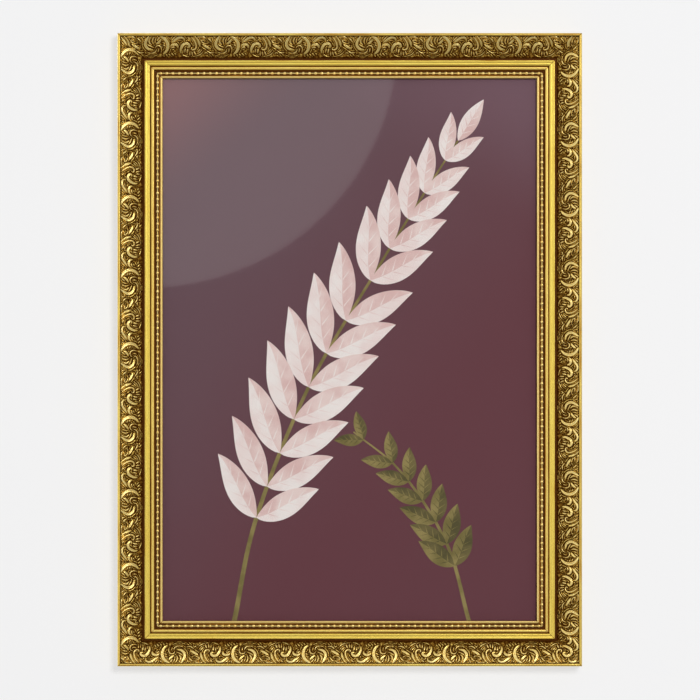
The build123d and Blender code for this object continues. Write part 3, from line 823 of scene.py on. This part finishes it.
stem_spacing, leaf_points, rib_step, rib_reach, rib_width = 6, 25, 4, 0.86, 0.8
branch_pairs, spray_pairs = 12, 7
branch_line = [(-62, -146), (-50, -90), (-22, -20), (14, 42), (40, 84), (58, 112)]
spray_line = [(64, -146), (52, -104), (28, -66), (2, -44)]
branch = printed_stem(branch_line, 2.6, 0.9, olive_ink)
low_spray = printed_stem(spray_line, 2.2, 0.8, olive_ink)
for share in np.linspace(0.97, 0.2, branch_pairs):
    index = int(share * (len(branch) - 1))
    heading = heading_at(branch, index)
    spread_angle = 0.62 + 0.5 * (1 - share)
    size = 24 + 20 * math.sin(math.pi * (1 - share) * 0.9)
    width, bend = size * 0.34, 0.18
    printed_leaf(branch[index], heading + spread_angle, size, width, -bend, pale_ink, rose_ink)
    printed_leaf(branch[index], heading - spread_angle, size * 0.92, width, bend, rose_ink, pale_ink)
top_angle, top_length, top_width, top_bend = math.atan2(1, 0.7), 26, 9, 0.05
printed_leaf(branch[-1], top_angle, top_length, top_width, top_bend, pale_ink, rose_ink)
for share in np.linspace(0.95, 0.3, spray_pairs):
    index = int(share * (len(low_spray) - 1))
    heading = heading_at(low_spray, index)
    size = 15 + 12 * (1 - share)
    for hand in (1, -1):
        angle, width, bend = heading + hand * 0.8, size * 0.42, -0.12 * hand
        printed_leaf(low_spray[index], angle, size, width, bend, olive_ink, deep_olive_ink)

flat_points, flat_faces = [], []
for shape in shapes:
    flat_faces.append(list(range(len(flat_points), len(flat_points) + len(shape))))
    flat_points += [Vector(point) for point in shape]
same_point, sheet_room = 1e-4, 0.04 * mm
found = geometry.delaunay_2d_cdt(flat_points, [], flat_faces, 0, same_point)
places, face_sources = found[0], found[5]
sheet_front = sheet_low.y + sheet_room
face_points = [(sheet_x + point.x * mm, sheet_front, sheet_z + point.y * mm) for point in places]
corner_points = [
    min(range(len(places)), key=lambda index: (places[index] - Vector(corner)).length)
    for corner in sheet_corners
]
back_points = [(face_points[index][0], sheet_high.y, face_points[index][2]) for index in corner_points]
back_corners = [len(face_points) + number for number in range(len(sheet_corners))]
faces = [list(face) for face in found[2]]
face_inks = [shape_inks[max(sources, default=0)] for sources in face_sources]
faces.append(back_corners[::-1])
for number in range(len(sheet_corners)):
    following = (number + 1) % len(sheet_corners)
    a, b = corner_points[number], corner_points[following]
    faces.append([b, a, back_corners[number], back_corners[following]])
mesh = bpy.data.meshes.new("leaf_print")
mesh.from_pydata(face_points + back_points, [], faces)
for ink in inks:
    mesh.materials.append(ink)
edge_inks = [ground_ink] * (len(faces) - len(face_inks))
mesh.polygons.foreach_set("material_index", np.array(face_inks + edge_inks, dtype=np.int32))
leaf_print = bpy.data.objects.new("leaf_print", mesh)
bpy.context.scene.collection.objects.link(leaf_print)
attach(leaf_print, "frame_body")
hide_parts("picture_print")

# Backing board. A sheet of brown hardboard, smooth on the outside, that closes the rebate behind the print.
# It is sawn to the size of the print and presses it flat; the turn buttons hold it in.
board_brown, board_tan = (0.268, 0.156, 0.080, 1), (0.300, 0.177, 0.092, 1)
board_fibre, board_speck = (0.40, 0.26, 0.15, 1), (0.12, 0.065, 0.032, 1)
hardboard, board_shader, base = new_finish("hardboard_finish", specular_ior_level=0.3)
place = object_place(base)
fibres = noise(place, (900, 900, 260), 4, 0.65)
patches = noise(place, (22, 22, 14), 3)
specks = between(noise(place, (1900, 1900, 800), 1), 0.62, 0.75)
board = tint(between(patches, 0.3, 0.7), board_brown, board_tan)
board = tint(between(fibres, 0.45, 0.75) * 0.55, board, board_fibre)
board = tint(specks * 0.6, board, board_speck)
feed(board_shader, base_color=board, roughness=0.5 + fibres * 0.25, normal=bump(fibres, 0.3, 0.0001))
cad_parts["backing_board"].material_slots[0].material = hardboard


# Corner wedges, turn buttons and screws. The wedges are thin bent steel strips driven across each mitre
# from behind, left bright. The buttons are stamped from plate and nickel plated, and each turns on a
# zinc-plated screw in the back of a rail.
def plated_metal(name, first, second, smooth, scratch):
    """Bright metal with faint clouding and fine scratches in two directions."""
    metal, shader, base = new_finish(name)
    place = object_place(base)
    clouds = noise(place, (230, 230, 230), 3)
    rubs = noise(place, (400, 400, 6000), 2) * 0.5 + noise(place, (6000, 400, 400), 2) * 0.5
    wear = between(rubs, 0.52, 0.66)
    feed(
        shader,
        base_color=tint(between(clouds, 0.3, 0.7), first, second),
        metallic=1 - wear * 0.05,
        roughness=smooth + clouds * 0.14 + wear * scratch,
        normal=bump(rubs, 0.12, 0.00004),
    )
    return metal


bright_steel, grey_steel = (0.50, 0.50, 0.50, 1), (0.40, 0.39, 0.38, 1)
bright_zinc, yellow_zinc = (0.66, 0.60, 0.46, 1), (0.58, 0.53, 0.44, 1)
bright_nickel, warm_nickel = (0.68, 0.66, 0.62, 1), (0.60, 0.58, 0.54, 1)
finishes = {
    "corner_wedges": plated_metal("wedge_steel_finish", bright_steel, grey_steel, 0.34, 0.2),
    "button_screws": plated_metal("zinc_screw_finish", bright_zinc, yellow_zinc, 0.26, 0.15),
}
nickel = plated_metal("nickel_button_finish", bright_nickel, warm_nickel, 0.22, 0.2)
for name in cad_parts:
    if name.endswith("_button"):
        finishes[name] = nickel

# Hangers. Toothed plates of brassed steel, one on the top rail and one on a side rail, so that the frame
# hangs upright or on its side. Two brassed nails hold each one.
bright_brass, dull_brass = (0.72, 0.53, 0.22, 1), (0.60, 0.42, 0.15, 1)
brass = plated_metal("brassed_hanger_finish", bright_brass, dull_brass, 0.28, 0.2)
for name in ("top_hanger", "right_hanger", "hanger_nails"):
    finishes[name] = brass
for name, finish in finishes.items():
    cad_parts[name].material_slots[0].material = finish

# Wall bumpers. Round pads of soft dark rubber, moulded and stuck to the bottom corners of the back.
# They hold the frame off the wall and upright.
clean_rubber, dusty_rubber = (0.018, 0.018, 0.019, 1), (0.050, 0.048, 0.046, 1)
rubber, rubber_shader, base = new_finish("bumper_rubber_finish", specular_ior_level=0.4)
place = object_place(base)
pores = noise(place, (2400, 2400, 2400), 3)
dust = noise(place, (300, 300, 300), 2)
feed(
    rubber_shader,
    base_color=tint(between(dust, 0.35, 0.75), clean_rubber, dusty_rubber),
    roughness=0.62 + pores * 0.25,
    normal=bump(pores, 0.3, 0.00008),
)
for name in ("left_bumper", "right_bumper"):
    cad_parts[name].material_slots[0].material = rubber

# Studio. A white wall, a large soft lamp at the upper right, a small one in front and one behind the wall.
# A round reflector beside the camera shows in the upper left of the glazing, and a dark card keeps the rest
# clear. The gold mirrors a grey floor and a sky that is brighter at the lower left.
camera_distance, view_width, sensor_width, face_depth = 2.2, 0.3742, 36.0, 0.0104
aim = Vector((middle.x + 0.00013, 0, middle.z - 0.00016))
camera = bpy.data.cameras.new("camera")
camera.sensor_width = sensor_width
camera.lens = sensor_width * (camera_distance - face_depth) / view_width
camera_object = bpy.data.objects.new("camera", camera)
camera_object.location = (aim.x, -camera_distance, aim.z)
camera_object.rotation_euler = (math.pi / 2, 0, 0)
bpy.context.scene.collection.objects.link(camera_object)
bpy.context.scene.camera = camera_object


def studio_panel(name, corners, paint):
    """One flat panel of the studio, seen from the side that its corners turn to."""
    mesh = bpy.data.meshes.new(name)
    mesh.from_pydata(corners, [], [(0, 1, 2, 3)])
    mesh.materials.append(paint)
    panel = bpy.data.objects.new(name, mesh)
    bpy.context.scene.collection.objects.link(panel)
    return panel


wall_grey, wall_glow = (0.31, 0.31, 0.315, 1), (0.615, 0.615, 0.615, 1)
wall_paint, wall_shader, base = new_finish("wall_paint", specular_ior_level=0.0, roughness=0.9)
wall_shader.inputs["Base Color"].default_value = wall_grey
wall_shader.inputs["Emission Color"].default_value = wall_glow
wall_shader.inputs["Emission Strength"].default_value = 1.0
clear = base.node("ShaderNodeBsdfTransparent", {}, {})
reverse = base.node("ShaderNodeNewGeometry", {}, {}, "Backfacing")
shown = wall_paint.node_tree.nodes.new("ShaderNodeMixShader")
base.put(reverse, shown.inputs[0])
wall_paint.node_tree.links.new(wall_shader.outputs[0], shown.inputs[1])
base.put(clear, shown.inputs[2])
wall_surface = wall_paint.node_tree.nodes["Material Output"].inputs["Surface"]
wall_paint.node_tree.links.new(shown.outputs[0], wall_surface)
wall_reach, wall_y = 3.0, 0.0003
wall_corners = [(x * wall_reach, wall_y, z * wall_reach) for x, z in ((-1, -1), (1, -1), (1, 1), (-1, 1))]
wall = studio_panel("wall", wall_corners, wall_paint)
wall.visible_diffuse = wall.visible_glossy = wall.visible_transmission = wall.visible_shadow = False


def soft_lamp(name, place, size, power, shape="SQUARE"):
    """A flat lamp that faces the middle of the frame."""
    lamp = bpy.data.lights.new(name, "AREA")
    lamp.shape = shape
    lamp.size = size
    lamp.energy = power
    holder = bpy.data.objects.new(name, lamp)
    holder.location = place
    holder.rotation_euler = (aim - Vector(place)).to_track_quat("-Z", "Y").to_euler()
    bpy.context.scene.collection.objects.link(holder)
    return holder


key_lamp = soft_lamp("key_lamp", (0.95, -1.55, 0.75), 1.0, 19)
key_lamp.visible_diffuse = False
front_lamp = soft_lamp("front_lamp", (0.34, -2.0, 0.17), 0.34, 25)
front_lamp.visible_glossy = False
soft_lamp("rear_lamp", (-0.7, 1.7, 0.7), 1.2, 26)
reflector_place = (aim.x - 0.2136, -camera_distance, aim.z + 0.331)
soft_lamp("round_reflector", reflector_place, 0.532, 0.72, "DISK")

card_black = (0.01, 0.01, 0.01, 1)
card_paint, card_shader, base = new_finish("dark_card", roughness=1.0, specular_ior_level=0.0)
card_shader.inputs["Base Color"].default_value = card_black
card_half_x, card_half_z, card_y = 0.26, 0.36, -camera_distance - 0.05
card_corners = [
    (aim.x + x * card_half_x, card_y, aim.z + z * card_half_z)
    for x, z in ((-1, -1), (-1, 1), (1, 1), (1, -1))
]
card = studio_panel("dark_card", card_corners, card_paint)
card.visible_camera = card.visible_diffuse = card.visible_shadow = False

floor_grey, floor_glow = (0.1, 0.1, 0.1, 1), (0.23, 0.226, 0.222, 1)
floor_paint, floor_shader, base = new_finish("studio_floor", roughness=1.0, specular_ior_level=0.0)
floor_shader.inputs["Base Color"].default_value = floor_grey
floor_shader.inputs["Emission Color"].default_value = floor_glow
floor_shader.inputs["Emission Strength"].default_value = 1.0
floor_reach, floor_z, floor_front = 2.6, -1.1, -3.2
floor_corners = [
    (-floor_reach, floor_front, floor_z),
    (floor_reach, floor_front, floor_z),
    (floor_reach, 0, floor_z),
    (-floor_reach, 0, floor_z),
]
floor = studio_panel("studio_floor", floor_corners, floor_paint)
floor.visible_camera = floor.visible_diffuse = floor.visible_shadow = False

world = bpy.data.worlds.new("studio")
world.use_nodes = True
bpy.context.scene.world = world
base = Signal(world.node_tree)
rays = world.node_tree.nodes.new("ShaderNodeLightPath")
mirrored_sky = Signal(world.node_tree, rays.outputs["Is Glossy Ray"])
seen_sky = Signal(world.node_tree, rays.outputs["Is Camera Ray"]) + mirrored_sky
seen_sky = between(seen_sky + Signal(world.node_tree, rays.outputs["Is Transmission Ray"]), 0.0, 1.0)
sky = world.node_tree.nodes["Background"]
sky.inputs["Color"].default_value = (1, 1, 1, 1)
seen_way = base.node("ShaderNodeTexCoord", {}, {}, "Generated")
rightwards = base.node("ShaderNodeSeparateXYZ", {}, {"Vector": seen_way}, "X")
upwards = Signal(world.node_tree, rightwards.socket.node.outputs["Z"])
sky_light, sky_seen, sky_lean = 0.32, 0.62, 0.3
strength = sky_light + seen_sky * sky_seen - mirrored_sky * (rightwards + upwards) * sky_lean
base.put(strength, sky.inputs["Strength"])

bpy.context.scene.view_settings.view_transform = "Standard"
